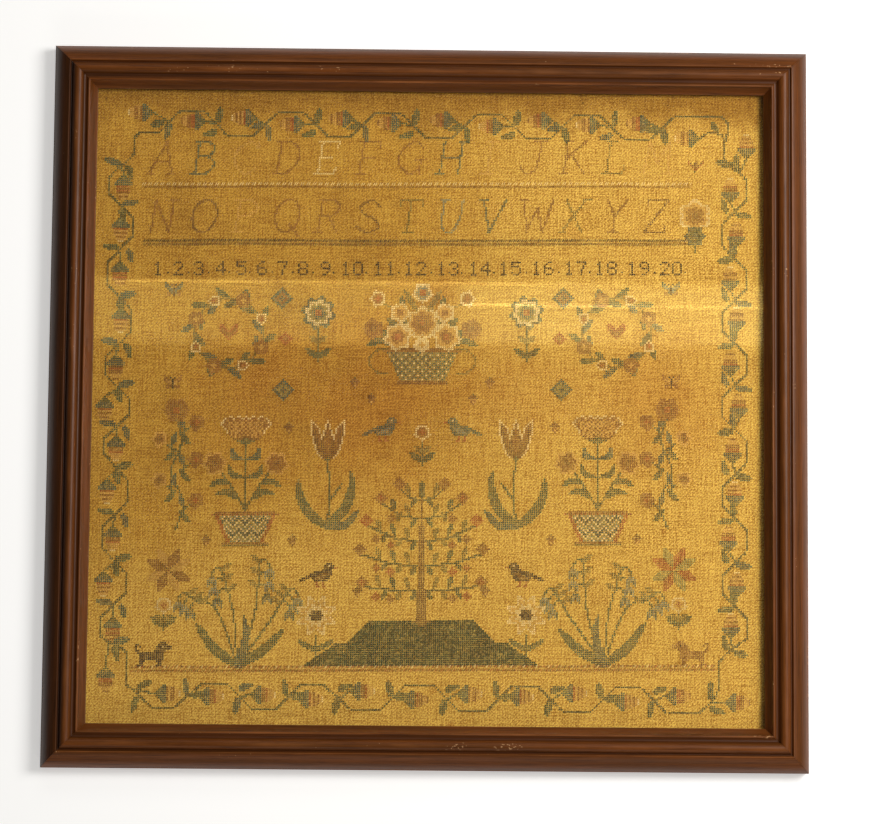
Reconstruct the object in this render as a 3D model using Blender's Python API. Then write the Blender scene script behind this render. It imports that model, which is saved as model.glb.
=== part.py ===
"""A cross stitch sampler on linen, flat behind glass in a mitred wooden moulding.

The picture lies on its back. The origin is at the middle of the back, +Z points out of the
picture's face, +Y to the picture's top and +X to its right. Lengths are in metres.
"""

import math

import bmesh
import bpy

MM = 0.001
GAP = 0.3 * MM

# Outside size of the frame, across the outer edges of the rails.
FRAME_WIDTH = 512 * MM
FRAME_HEIGHT = 488 * MM

# The moulding's section, from its back outer corner over the face to the rebate. Each row is one
# stretch: its name, where it ends (across from the outer edge, above the back), how far it bows
# out of the straight line between its ends, and its number of steps. Millimetres.
BACK_CORNER = (0.0, 0.0)
MOULDING = (
    ("outer side", 0.0, 10.4, 0.0, 1),
    ("outer arris", 0.5, 11.3, 0.15, 2),
    ("band", 11.0, 20.5, 1.5, 8),
    ("band arris", 11.5, 20.3, 0.1, 2),
    ("quirk wall", 12.2, 19.2, 0.0, 1),
    ("quirk floor", 13.0, 19.2, -0.15, 2),
    ("bead", 20.4, 19.6, 2.6, 10),
    ("hollow", 23.4, 19.0, -0.9, 6),
    ("lip bead", 25.3, 18.9, 0.8, 5),
    ("inner slope", 29.2, 13.5, -0.25, 3),
    ("sight arris", 29.6, 13.0, 0.1, 2),
)
SIGHT_EDGE = 29.6 * MM
REBATE_WALL = 23.6 * MM
REBATE_DEPTH = 11.0 * MM

# What lies in the rebate, from the lip back.
GLASS_THICKNESS = 2.0 * MM
STITCH_ROOM = 1.0 * MM
CLOTH_THICKNESS = 1.2 * MM
CLOTH_INSET = 2.0 * MM
BOARD_THICKNESS = 3.0 * MM

# Name of the rail, and the quarter turns that bring the bottom rail round to it.
RAILS = (
    ("frame_bottom", 0),
    ("frame_right", 1),
    ("frame_top", 2),
    ("frame_left", 3),
)

# Base colour, roughness and how clear it is.
FINISHES = {
    "stained_wood": ((0.085, 0.036, 0.016), 0.38, 0.0),
    "clear_glass": ((0.95, 0.97, 0.96), 0.04, 1.0),
    "ochre_linen": ((0.42, 0.26, 0.085), 0.9, 0.0),
    "brown_board": ((0.20, 0.125, 0.07), 0.85, 0.0),
}


def clear_scene():
    for obj in list(bpy.data.objects):
        bpy.data.objects.remove(obj, do_unlink=True)


def new_collection(name):
    collection = bpy.data.collections.new(name)
    bpy.context.scene.collection.children.link(collection)
    return collection


def new_material(name):
    colour, roughness, clearness = FINISHES[name]
    material = bpy.data.materials.new(name)
    material.use_nodes = True
    shader = material.node_tree.nodes["Principled BSDF"]
    shader.inputs["Base Color"].default_value = (*colour, 1.0)
    shader.inputs["Roughness"].default_value = roughness
    shader.inputs["Metallic"].default_value = 0.0
    shader.inputs["Transmission Weight"].default_value = clearness
    material.diffuse_color = (*colour, 1.0)
    return material


def bowed_line(start, end, bow, steps):
    """Points after start on the arc to end that stands bow out of the chord, to its left."""
    chord_x = end[0] - start[0]
    chord_y = end[1] - start[1]
    length = math.hypot(chord_x, chord_y)
    half_angle = 2 * math.atan2(2 * bow, length)
    points = []
    for step in range(1, steps + 1):
        share = step / steps
        along, out = share, 0.0
        if half_angle:
            radius = length / (2 * math.sin(half_angle))
            turn = half_angle * (2 * share - 1)
            along = 0.5 + radius * math.sin(turn) / length
            out = radius * (math.cos(turn) - math.cos(half_angle)) / length
        points.append(
            (
                start[0] + along * chord_x - out * chord_y,
                start[1] + along * chord_y + out * chord_x,
            )
        )
    return points


def moulding_section():
    """The moulding's closed outline in metres: across from the outer edge, and up."""
    points = [BACK_CORNER]
    for _, across, up, bow, steps in MOULDING:
        points += bowed_line(points[-1], (across, up), bow, steps)
    outline = [(across * MM, up * MM) for across, up in points]
    outline += [
        (SIGHT_EDGE, REBATE_DEPTH),
        (REBATE_WALL, REBATE_DEPTH),
        (REBATE_WALL, 0.0),
    ]
    return outline


def place(obj, collection):
    for linked in list(obj.users_collection):
        linked.objects.unlink(obj)
    collection.objects.link(obj)


def extruded_section(name, length):
    """A straight length of moulding as a flat curve, extruded both ways from its middle."""
    outline = moulding_section()
    curve = bpy.data.curves.new(name, "CURVE")
    curve.dimensions = "2D"
    curve.fill_mode = "BOTH"
    curve.extrude = length / 2
    spline = curve.splines.new("POLY")
    spline.points.add(len(outline) - 1)
    for point, (across, up) in zip(spline.points, outline):
        point.co = (across, up, 0.0, 1.0)
    spline.use_cyclic_u = True
    return bpy.data.objects.new(name, curve)


def curve_to_mesh(curve_object, collection):
    """The curve as a closed mesh of the same name and place. The curve is removed."""
    name = curve_object.name
    bpy.context.view_layer.update()
    graph = bpy.context.evaluated_depsgraph_get()
    mesh = bpy.data.meshes.new_from_object(curve_object.evaluated_get(graph))
    shape = bmesh.new()
    shape.from_mesh(mesh)
    bmesh.ops.remove_doubles(shape, verts=shape.verts, dist=0.001 * MM)
    bmesh.ops.recalc_face_normals(shape, faces=shape.faces)
    shape.to_mesh(mesh)
    shape.free()
    place_matrix = curve_object.matrix_world.copy()
    curve = curve_object.data
    bpy.data.objects.remove(curve_object, do_unlink=True)
    bpy.data.curves.remove(curve)
    obj = bpy.data.objects.new(name, mesh)
    obj.matrix_world = place_matrix
    collection.objects.link(obj)
    return obj


def mitre_cutter(name, corner, turn, collection):
    """A block on the far side of a mitre, with its near face half a gap inside the rail."""
    side = 4 * SIGHT_EDGE
    bpy.ops.mesh.primitive_cube_add(size=side)
    cutter = bpy.context.object
    cutter.name = name
    reach = (side - GAP) / 2
    cutter.location = (
        corner[0] + reach * math.cos(turn),
        corner[1] + reach * math.sin(turn),
        0.0,
    )
    cutter.rotation_euler = (0.0, 0.0, turn)
    cutter.display_type = "WIRE"
    cutter.hide_render = True
    place(cutter, collection)
    return cutter


def add_cut(obj, cutter):
    cut = obj.modifiers.new("Mitre", "BOOLEAN")
    cut.operation = "DIFFERENCE"
    cut.solver = "EXACT"
    cut.object = cutter


def make_rail(name, quarter_turns, material, parts, cutters):
    """One rail of the frame, mitred at both ends, with its outer edge on the frame's edge."""
    upright = quarter_turns % 2 == 1
    length = FRAME_HEIGHT if upright else FRAME_WIDTH
    reach = (FRAME_WIDTH if upright else FRAME_HEIGHT) / 2
    turn = math.radians(90 * quarter_turns)
    outward = turn - math.radians(90)
    curve_object = extruded_section(name, length)
    curve_object.location = (reach * math.cos(outward), reach * math.sin(outward), 0.0)
    curve_object.rotation_euler = (math.radians(90), 0.0, turn + math.radians(90))
    parts.objects.link(curve_object)
    rail = curve_to_mesh(curve_object, parts)
    rail.data.materials.append(material)
    rail.data.shade_smooth()
    rail.data.set_sharp_from_angle(angle=math.radians(38))
    for side in (-1, 1):
        along = turn if side > 0 else turn + math.pi
        corner = (
            rail.location.x + length / 2 * math.cos(along),
            rail.location.y + length / 2 * math.sin(along),
        )
        facing = turn + side * math.radians(45) + (math.pi if side < 0 else 0.0)
        cutter = mitre_cutter(f"{name}_mitre_{side + 1}", corner, facing, cutters)
        add_cut(rail, cutter)
    return rail


def make_sheet(name, width, height, back, thickness, material, parts):
    """A flat rectangular piece whose back lies at the given height."""
    bpy.ops.mesh.primitive_cube_add(size=1.0)
    sheet = bpy.context.object
    sheet.name = name
    sheet.data.name = name
    for corner in sheet.data.vertices:
        corner.co.x *= width
        corner.co.y *= height
        corner.co.z *= thickness
    sheet.location = (0.0, 0.0, back + thickness / 2)
    sheet.data.materials.append(material)
    place(sheet, parts)
    return sheet


def make_contents(materials, parts):
    """The glass, the worked linen and the board, in the rebate behind the lip."""
    width = FRAME_WIDTH - 2 * (REBATE_WALL + GAP)
    height = FRAME_HEIGHT - 2 * (REBATE_WALL + GAP)
    glass_back = REBATE_DEPTH - GAP - GLASS_THICKNESS
    cloth_back = glass_back - STITCH_ROOM - CLOTH_THICKNESS
    board_back = cloth_back - GAP - BOARD_THICKNESS
    make_sheet(
        "glass_pane", width, height, glass_back, GLASS_THICKNESS, materials["clear_glass"], parts
    )
    make_sheet(
        "sampler_cloth",
        width - 2 * CLOTH_INSET,
        height - 2 * CLOTH_INSET,
        cloth_back,
        CLOTH_THICKNESS,
        materials["ochre_linen"],
        parts,
    )
    make_sheet(
        "backing_board", width, height, board_back, BOARD_THICKNESS, materials["brown_board"], parts
    )


def main():
    clear_scene()
    parts = new_collection("framed_cross_stitch_sampler")
    cutters = new_collection("cutters")
    materials = {name: new_material(name) for name in FINISHES}
    for name, quarter_turns in RAILS:
        make_rail(name, quarter_turns, materials["stained_wood"], parts, cutters)
    make_contents(materials, parts)


main()
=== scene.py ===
import math
import random

import bpy
from mathutils import Euler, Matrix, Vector, noise


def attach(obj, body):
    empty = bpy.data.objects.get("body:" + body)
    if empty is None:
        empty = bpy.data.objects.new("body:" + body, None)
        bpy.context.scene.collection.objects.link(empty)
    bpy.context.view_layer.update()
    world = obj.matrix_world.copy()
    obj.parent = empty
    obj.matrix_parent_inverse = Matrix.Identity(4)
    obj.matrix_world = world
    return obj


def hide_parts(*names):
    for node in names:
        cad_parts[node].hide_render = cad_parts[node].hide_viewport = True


# A cross stitch sampler on linen, behind glass in a mitred moulding, lying on its back.
# Lengths are in metres and colours are sRGB, 0 to 255, unless a note says otherwise.

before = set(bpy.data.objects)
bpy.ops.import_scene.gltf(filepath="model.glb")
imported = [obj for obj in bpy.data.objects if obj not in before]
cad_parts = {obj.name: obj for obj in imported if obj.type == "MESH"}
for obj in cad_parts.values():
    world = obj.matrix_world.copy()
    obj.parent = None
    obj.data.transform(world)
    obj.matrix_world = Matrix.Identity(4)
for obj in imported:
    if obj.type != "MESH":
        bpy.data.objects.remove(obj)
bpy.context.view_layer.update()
mm = 0.001


def linear(colour):
    def one(value):
        value /= 255
        return value / 12.92 if value <= 0.04045 else ((value + 0.055) / 1.055) ** 2.4
    return (*(one(value) for value in colour), 1.0)


def newMaterial(name):
    material = bpy.data.materials.new(name)
    material.use_nodes = True
    tree = material.node_tree
    return material, tree, tree.nodes["Principled BSDF"]


def addNode(tree, kind, **settings):
    node = tree.nodes.new(kind)
    for name, value in settings.items():
        setattr(node, name, value)
    return node


def join(tree, source, target):
    tree.links.new(source, target)


def calc(tree, operation, first, second=None, third=None, clamp=False):
    node = addNode(tree, "ShaderNodeMath", operation=operation, use_clamp=clamp)
    for socket, value in zip(node.inputs, (first, second, third)):
        if value is None:
            continue
        if isinstance(value, (int, float)):
            socket.default_value = value
        else:
            join(tree, value, socket)
    return node.outputs[0]


def blendColours(tree, share, first, second, kind="MIX"):
    node = addNode(tree, "ShaderNodeMix", data_type="RGBA", blend_type=kind)
    for socket, value in ((node.inputs[0], share), (node.inputs[6], first), (node.inputs[7], second)):
        if isinstance(value, (int, float, tuple)):
            socket.default_value = value
        else:
            join(tree, value, socket)
    return node.outputs[2]


def noiseAt(tree, coordinates, scale, stretch=(1, 1, 1), detail=3, rough=0.5, offset=(0, 0, 0)):
    mapping = addNode(tree, "ShaderNodeMapping")
    mapping.inputs["Scale"].default_value = stretch
    mapping.inputs["Location"].default_value = offset
    join(tree, coordinates, mapping.inputs["Vector"])
    texture = addNode(tree, "ShaderNodeTexNoise")
    texture.inputs["Scale"].default_value = scale
    texture.inputs["Detail"].default_value = detail
    texture.inputs["Roughness"].default_value = rough
    join(tree, mapping.outputs["Vector"], texture.inputs["Vector"])
    return texture.outputs["Fac"]


def remap(tree, value, low, high, newLow=0.0, newHigh=1.0, smooth=True):
    node = addNode(tree, "ShaderNodeMapRange", clamp=True)
    node.interpolation_type = "SMOOTHSTEP" if smooth else "LINEAR"
    for socket, number in zip(node.inputs[1:5], (low, high, newLow, newHigh)):
        socket.default_value = number
    join(tree, value, node.inputs[0])
    return node.outputs[0]


def addBump(tree, shader, height, strength, depth):
    bump = addNode(tree, "ShaderNodeBump")
    bump.inputs["Strength"].default_value = strength
    bump.inputs["Distance"].default_value = depth
    join(tree, height, bump.inputs["Height"])
    join(tree, bump.outputs["Normal"], shader.inputs["Normal"])


def newPiece(name, points, faces, material):
    mesh = bpy.data.meshes.new(name)
    mesh.from_pydata(points, [], faces)
    mesh.update()
    piece = bpy.data.objects.new(name, mesh)
    bpy.context.scene.collection.objects.link(piece)
    mesh.materials.append(material)
    mesh.shade_smooth()
    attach(piece, "root")
    return piece


# Camera, floor and lamps

studio = {
    "cameraPlace": (-0.0154, -0.1668, 1.7871),
    "cameraTurn": (5.225, -0.678, 0.497),  # degrees
    "lens": 109.66,
    "air": (1.0, 0.90, 0.72),
    "airStrength": 0.07,
    "floorSize": 9.0,
    "floorColour": (246, 246, 246),
    "floorGlow": 0.50,  # the studio floor is lit from under
    "narrowLamps": ("bandLamp", "headLine", "barLine", "lowLine"),
    "narrowSpread": 1.2,  # degrees
    "lamps": {
        # place, width and length, watts, colour; these three face the middle of the frame's back
        "sideLamp": ((0.86, 0.28, 1.15), (0.60, 0.60), 15.6, (1.0, 0.985, 0.95)),
        "footLamp": ((0.1, -1.7, 1.0), (1.2, 0.5), 4.0, (1.0, 0.97, 0.92)),
        "topLamp": ((-0.1, 1.5, 1.3), (1.2, 0.5), 2.9, (1.0, 0.97, 0.93)),
    },
    "lampsStraightDown": {
        # daylight that falls on the worked linen in a band, with three brighter lines
        "bandLamp": ((0.0, 0.0625, 0.40), (0.452, 0.0428), 0.016, (0.62, 0.80, 1.0)),
        "headLine": ((0.0, 0.0836, 0.05), (0.452, 0.002), 0.0018, (0.70, 0.82, 1.0)),
        "barLine": ((0.125, 0.0692, 0.05), (0.204, 0.002), 0.0030, (0.70, 0.82, 1.0)),
        "lowLine": ((0.128, 0.0553, 0.05), (0.120, 0.002), 0.0008, (0.70, 0.82, 1.0)),
        # pale windows that the glass mirrors, the right one in front of the wide one
        "wideWindow": ((0.011, 0.309, 1.90), (0.95, 0.083), 0.066, (1.0, 0.80, 0.40)),
        "rightWindow": ((0.270, 0.304, 1.897), (0.43, 0.076), 0.044, (1.0, 0.80, 0.4)),
    },
}


def makeStudio():
    scene = bpy.context.scene
    camera = bpy.data.objects.new("camera", bpy.data.cameras.new("camera"))
    camera.data.lens = studio["lens"]
    camera.data.sensor_width = 36
    camera.location = studio["cameraPlace"]
    camera.rotation_euler = Euler([math.radians(turn) for turn in studio["cameraTurn"]])
    scene.collection.objects.link(camera)
    scene.camera = camera

    world = bpy.data.worlds.new("studioAir")
    world.use_nodes = True
    air = world.node_tree.nodes["Background"]
    air.inputs["Color"].default_value = (*studio["air"], 1.0)
    air.inputs["Strength"].default_value = studio["airStrength"]
    scene.world = world
    scene.view_settings.view_transform = "Standard"

    straightDown = studio["lampsStraightDown"]
    for name, (place, size, watts, colour) in {**studio["lamps"], **straightDown}.items():
        data = bpy.data.lights.new(name, "AREA")
        data.shape = "RECTANGLE"
        data.size, data.size_y = size
        data.energy = watts
        data.color = colour
        if name in studio["narrowLamps"]:
            data.spread = math.radians(studio["narrowSpread"])
        lamp = bpy.data.objects.new(name, data)
        lamp.location = place
        aim = Vector((place[0], place[1], 0)) if name in straightDown else Vector((0, 0, 0))
        lamp.rotation_euler = (aim - Vector(place)).to_track_quat("-Z", "Y").to_euler()
        lamp.visible_camera = False
        scene.collection.objects.link(lamp)

    half = studio["floorSize"] / 2
    corners = [(-half, -half, 0), (half, -half, 0), (half, half, 0), (-half, half, 0)]
    mesh = bpy.data.meshes.new("floor")
    mesh.from_pydata(corners, [], [(0, 1, 2, 3)])
    floor = bpy.data.objects.new("floor", mesh)
    scene.collection.objects.link(floor)
    material, tree, shader = newMaterial("paleFloor")
    position = addNode(tree, "ShaderNodeTexCoord").outputs["Object"]
    cloudy = noiseAt(tree, position, 3.0)
    pale = linear(studio["floorColour"])
    dim = tuple(value * 0.985 for value in pale[:3]) + (1.0,)
    join(tree, blendColours(tree, cloudy, dim, pale), shader.inputs["Base Color"])
    shader.inputs["Roughness"].default_value = 0.9
    shader.inputs["Emission Color"].default_value = pale
    shader.inputs["Emission Strength"].default_value = studio["floorGlow"]
    material.cycles.emission_sampling = "NONE"  # less noise on the piece, which it hardly lights
    mesh.materials.append(material)
    print("studio made")


# Rails of the frame

railShape = {
    # stretch of the moulding, where it ends (mm across from the outer edge, mm up), its bow,
    # its steps, and how worn it is halfway and at its end, from -1 in a groove to 1 on an arris
    "section": (
        ("outer side", 0.0, 10.4, 0.0, 4, 0.0, 0.3),
        ("outer arris", 0.5, 11.3, 0.15, 3, 0.9, 0.5),
        ("band", 11.0, 20.5, 1.5, 16, 0.1, 0.6),
        ("band arris", 11.5, 20.3, 0.1, 3, 1.0, 0.4),
        ("quirk wall", 12.2, 19.2, 0.0, 2, -0.5, -1.0),
        ("quirk floor", 13.0, 19.2, -0.15, 3, -1.0, -0.9),
        ("bead", 20.4, 19.6, 2.6, 20, 0.7, -0.5),
        ("hollow", 23.4, 19.0, -0.9, 10, -1.0, 0.0),
        ("lip bead", 25.3, 18.9, 0.8, 8, 0.8, 0.3),
        ("inner slope", 29.2, 13.5, -0.25, 8, -0.1, 0.2),
        ("sight arris", 29.6, 13.0, 0.1, 3, 0.9, 0.2),
        ("sight side", 29.6, 11.0, 0.0, 1, -0.4, -0.6),
        ("rebate shelf", 23.6, 11.0, 0.0, 2, -0.6, -0.6),
        ("rebate wall", 23.6, 0.0, 0.0, 2, -0.5, 0.0),
        ("back", 0.0, 0.0, 0.0, 4, 0.2, 0.2),
    ),
    "frameWidth": 512,
    "frameHeight": 488,
    "sightEdge": 29.6,
    "rebateWall": 23.6,
    "grainStep": 1.3,  # metres of grain from one rail to the next
    "slices": 110,
    "mitreGap": 0.07,  # each side of a mitre, mm
    "waver": 0.07,  # how far a face strays from true, mm
    "darkStain": (54, 25, 9),
    "midStain": (100, 55, 17),
    "redStain": (126, 68, 24),
    "wornWood": (176, 108, 56),
    "chipWood": (196, 148, 100),
    # the colour of the painted shade on a rail that faces away from the side lamp
    "paintedShadeColour": (20, 12, 8),
    "paintedShadeDepth": {"frame_left": 15.0},  # painted shade: rails darkened from the outer edge in, where they face away from the side lamp, and how far, mm
}

rails = {"frame_bottom": 0, "frame_right": 1, "frame_top": 2, "frame_left": 3}


def bowedLine(start, end, bow, steps):
    chordX = end[0] - start[0]
    chordY = end[1] - start[1]
    length = math.hypot(chordX, chordY)
    halfAngle = 2 * math.atan2(2 * bow, length)
    points = []
    for step in range(1, steps + 1):
        share = step / steps
        along, out = share, 0.0
        if halfAngle:
            radius = length / (2 * math.sin(halfAngle))
            turn = halfAngle * (2 * share - 1)
            along = 0.5 + radius * math.sin(turn) / length
            out = radius * (math.cos(turn) - math.cos(halfAngle)) / length
        x = start[0] + along * chordX - out * chordY
        y = start[1] + along * chordY + out * chordX
        points.append((share, x, y))
    return points


def railSection():
    # each point is (across, up, wear, distance round the section), closed back to the first
    points = [(0.0, 0.0, 0.2, 0.0)]
    for _, across, up, bow, steps, wearMid, wearEnd in railShape["section"]:
        wearStart = points[-1][2]
        start = points[-1][:2]
        for share, x, y in bowedLine(start, (across, up), bow, steps):
            wear = wearStart + (wearEnd - wearStart) * share
            wear += (wearMid - (wearStart + wearEnd) / 2) * 4 * share * (1 - share)
            far = points[-1][3] + math.hypot(x - points[-1][0], y - points[-1][1])
            points.append((x, y, wear, far))
    return points


def woodMaterial():
    material, tree, shader = newMaterial("stainedWood")
    place = addNode(tree, "ShaderNodeUVMap", uv_map="along").outputs["UV"]
    wear = addNode(tree, "ShaderNodeAttribute", attribute_name="wear").outputs["Fac"]
    figure = noiseAt(tree, place, 1.0, (5, 170, 1), 4, 0.6)
    grain = noiseAt(tree, place, 1.0, (26, 1500, 1), 5, 0.65, (3, 7, 0))
    pores = noiseAt(tree, place, 1.0, (95, 3600, 1), 2, 0.6, (9, 1, 0))
    patches = noiseAt(tree, place, 1.0, (16, 60, 1), 3, 0.6, (5, 2, 0))
    colour = blendColours(
        tree, remap(tree, figure, 0.3, 0.7), linear(railShape["midStain"]), linear(railShape["redStain"])
    )
    dark = linear(railShape["darkStain"])
    colour = blendColours(tree, remap(tree, grain, 0.46, 0.7, 0.0, 0.75), colour, dark)
    colour = blendColours(tree, remap(tree, pores, 0.58, 0.72, 0.0, 0.6), colour, dark)
    groove = remap(tree, wear, -1.0, 0.0, 0.6, 0.0)
    colour = blendColours(tree, groove, colour, dark)
    rubbed = calc(tree, "ADD", wear, calc(tree, "MULTIPLY_ADD", patches, 1.2, -0.6))
    rubbed = remap(tree, rubbed, 0.55, 1.2, 0.0, 0.6)
    colour = blendColours(tree, rubbed, colour, linear(railShape["wornWood"]))
    chips = noiseAt(tree, place, 1.0, (420, 760, 1), 1, 0.5, (2, 4, 0))
    spread = noiseAt(tree, place, 1.0, (24, 50, 1), 1, 0.5, (6, 8, 0))
    chips = remap(tree, calc(tree, "MULTIPLY", chips, spread), 0.44, 0.47)
    chips = calc(tree, "MULTIPLY", chips, remap(tree, wear, 0.1, 0.5))
    colour = blendColours(tree, chips, colour, linear(railShape["chipWood"]))
    # painted shade on the outer band and bead of a rail that faces away from the side lamp
    paintedShade = addNode(tree, "ShaderNodeAttribute", attribute_name="paintedShade").outputs["Fac"]
    paintedShade = calc(tree, "MULTIPLY", paintedShade, 0.62)
    colour = blendColours(tree, paintedShade, colour, linear(railShape["paintedShadeColour"]))
    join(tree, colour, shader.inputs["Base Color"])
    rough = calc(tree, "MULTIPLY_ADD", grain, 0.22, 0.28)
    rough = calc(tree, "ADD", rough, calc(tree, "MULTIPLY", rubbed, 0.2))
    join(tree, rough, shader.inputs["Roughness"])
    shader.inputs["Specular IOR Level"].default_value = 0.22
    shader.inputs["Coat Weight"].default_value = 0.03
    shader.inputs["Coat Roughness"].default_value = 0.22
    height = calc(tree, "MULTIPLY_ADD", pores, -0.5, grain)
    height = calc(tree, "MULTIPLY_ADD", chips, -1.5, height)
    addBump(tree, shader, height, 0.5, 0.1 * mm)
    return material


def makeRail(name, quarterTurns, material):
    upright = quarterTurns % 2 == 1
    length = railShape["frameHeight"] if upright else railShape["frameWidth"]
    reach = (railShape["frameWidth"] if upright else railShape["frameHeight"]) / 2
    section = railSection()
    turn = math.radians(90 * quarterTurns)
    count = len(section) - 1
    slices = railShape["slices"]
    points, faces, wears, paintedShades, places = [], [], [], [], []
    paintedShadeDepth = railShape["paintedShadeDepth"].get(name, 0)
    for cut in range(slices + 1):
        share = 2 * cut / slices - 1
        for number, (across, up, wear, far) in enumerate(section[:-1]):
            along = share * (length / 2 - across - railShape["mitreGap"])
            seed = Vector((along / 34, far / 9, 11 * quarterTurns))
            stray = noise.noise(seed) * railShape["waver"]
            stray += noise.noise(seed * 3.7) * railShape["waver"] * (0.5 + max(wear, 0))
            if up < 0.5 or across in (railShape["rebateWall"], railShape["sightEdge"]):
                stray = 0.0
            x, y, z = along, across + min(stray, 0.0) * 0.3 - reach, up + stray
            points.append((
                (x * math.cos(turn) - y * math.sin(turn)) * mm,
                (x * math.sin(turn) + y * math.cos(turn)) * mm,
                max(z, 0.0) * mm,
            ))
            wears.append(wear)
            paintedShades.append(min(max((paintedShadeDepth + 2 - across) / 3, 0), 1) if paintedShadeDepth and number else 0)
            places.append((along * mm + railShape["grainStep"] * quarterTurns, far * mm))
    for cut in range(slices):
        for number in range(count):
            after = (number + 1) % count
            base = cut * count
            faces.append((base + number, base + count + number, base + count + after, base + after))
    faces.append(tuple(range(count)))
    faces.append(tuple(slices * count + number for number in reversed(range(count))))
    rail = newPiece(name + "_moulding", points, faces, material)
    mesh = rail.data
    mesh.attributes.new("wear", "FLOAT", "POINT").data.foreach_set("value", wears)
    mesh.attributes.new("paintedShade", "FLOAT", "POINT").data.foreach_set("value", paintedShades)
    layer = mesh.uv_layers.new(name="along")
    around = section[-1][3] * mm
    for face in mesh.polygons:
        spots = [places[mesh.loops[loop].vertex_index] for loop in face.loop_indices]
        wraps = max(v for _, v in spots) - min(v for _, v in spots) > around / 2
        for loop, (u, v) in zip(face.loop_indices, spots):
            layer.data[loop].uv = (u, v + around if wraps and v < around / 2 else v)
    mesh.set_sharp_from_angle(angle=math.radians(35))
    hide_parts(name)
    return rail


def makeFrame():
    material = woodMaterial()
    for name, quarterTurns in rails.items():
        makeRail(name, quarterTurns, material)
    print("rails made")


# Glass and backing board

glassAndBoard = {
    "glassTint": (246, 250, 247),
    "boardColour": (122, 96, 68),
    "boardFleck": (88, 64, 42),
    "boardPale": (150, 122, 90),
}


def finishGlass():
    material, tree, shader = newMaterial("pictureGlass")
    position = addNode(tree, "ShaderNodeTexCoord").outputs["Object"]
    smear = noiseAt(tree, position, 14.0, (1, 3, 1), 4, 0.6)
    shader.inputs["Base Color"].default_value = linear(glassAndBoard["glassTint"])
    shader.inputs["Transmission Weight"].default_value = 1.0
    shader.inputs["IOR"].default_value = 1.5
    join(tree, remap(tree, smear, 0.3, 0.8, 0.015, 0.06), shader.inputs["Roughness"])
    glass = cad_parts["glass_pane"]
    glass.data.materials.clear()
    glass.data.materials.append(material)
    glass.visible_shadow = False


def finishBoard():
    material, tree, shader = newMaterial("greyBrownBoard")
    position = addNode(tree, "ShaderNodeTexCoord").outputs["Object"]
    cloud = noiseAt(tree, position, 9.0, detail=5, rough=0.6)
    fibre = noiseAt(tree, position, 420.0, (1, 3.5, 1), 4, 0.7)
    fleck = noiseAt(tree, position, 900.0, detail=1)
    colour = blendColours(
        tree,
        remap(tree, cloud, 0.3, 0.7),
        linear(glassAndBoard["boardColour"]),
        linear(glassAndBoard["boardPale"]),
    )
    dark = linear(glassAndBoard["boardFleck"])
    colour = blendColours(tree, calc(tree, "MULTIPLY", fibre, 0.35), colour, dark)
    colour = blendColours(tree, remap(tree, fleck, 0.68, 0.76, 0.0, 0.7), colour, dark)
    join(tree, colour, shader.inputs["Base Color"])
    shader.inputs["Roughness"].default_value = 0.88
    addBump(tree, shader, fibre, 0.4, 0.12 * mm)
    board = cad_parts["backing_board"]
    board.data.materials.clear()
    board.data.materials.append(material)
    print("glass and board finished")


# The linen

linen = {
    "width": 0.4602,
    "height": 0.4362,
    "back": 6.6 * mm,
    "face": 7.7 * mm,
    "cells": (104, 98),
    "slack": 0.10 * mm,  # how far the face strays from flat
    "thread": 0.69 * mm,  # from one thread to the next
    "rib": 2.3 * mm,  # from one slanting rib to the next, along a row
    "paleThread": (195, 148, 58),
    "darkThread": (134, 84, 19),
    "holeAndShade": (84, 50, 16),
    # factors, red green blue
    "warpTint": (1.16, 1.16, 1.16, 1.0),
    "weftTint": (0.75, 0.73, 0.66, 1.0),
    "toneAndShadeTint": (0.66, 0.60, 0.52, 1.0),
    "palerTint": (1.23, 1.36, 1.85, 1.0),
    "stainAndShadeTint": (0.72, 0.50, 0.36, 1.0),
    # middle of each stain or patch of painted shade, how wide, how strong
    "stainsAndShade": (
        ((0.007, 0.072), 0.018, 0.42),
        ((0.014, 0.088), 0.012, 0.3),
        ((0.170, 0.010), 0.012, 0.2),
        ((0.017, -0.214), 0.004, 0.7),
        ((0.159, -0.083), 0.003, 0.7),
        ((-0.064, 0.158), 0.006, 0.25),
        ((0.098, 0.118), 0.010, 0.2),
        ((-0.120, 0.020), 0.022, 0.18),
        # the last four, broad and across the middle, are painted shade: a darker band below the band of
        # lamplight
        ((-0.030, 0.008), 0.10, 0.62),
        ((-0.115, 0.006), 0.08, 0.45),
        ((0.150, 0.006), 0.08, 0.5),
        ((0.060, 0.004), 0.06, 0.4),
    ),
}


def linenHeight(x, y):
    waves = noise.noise(Vector((x * 22, y * 22, 0.3))) + 0.5 * noise.noise(Vector((x * 60, y * 60, 4.1)))
    return linen["face"] - linen["slack"] * (0.7 + 0.5 * waves)


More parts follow.
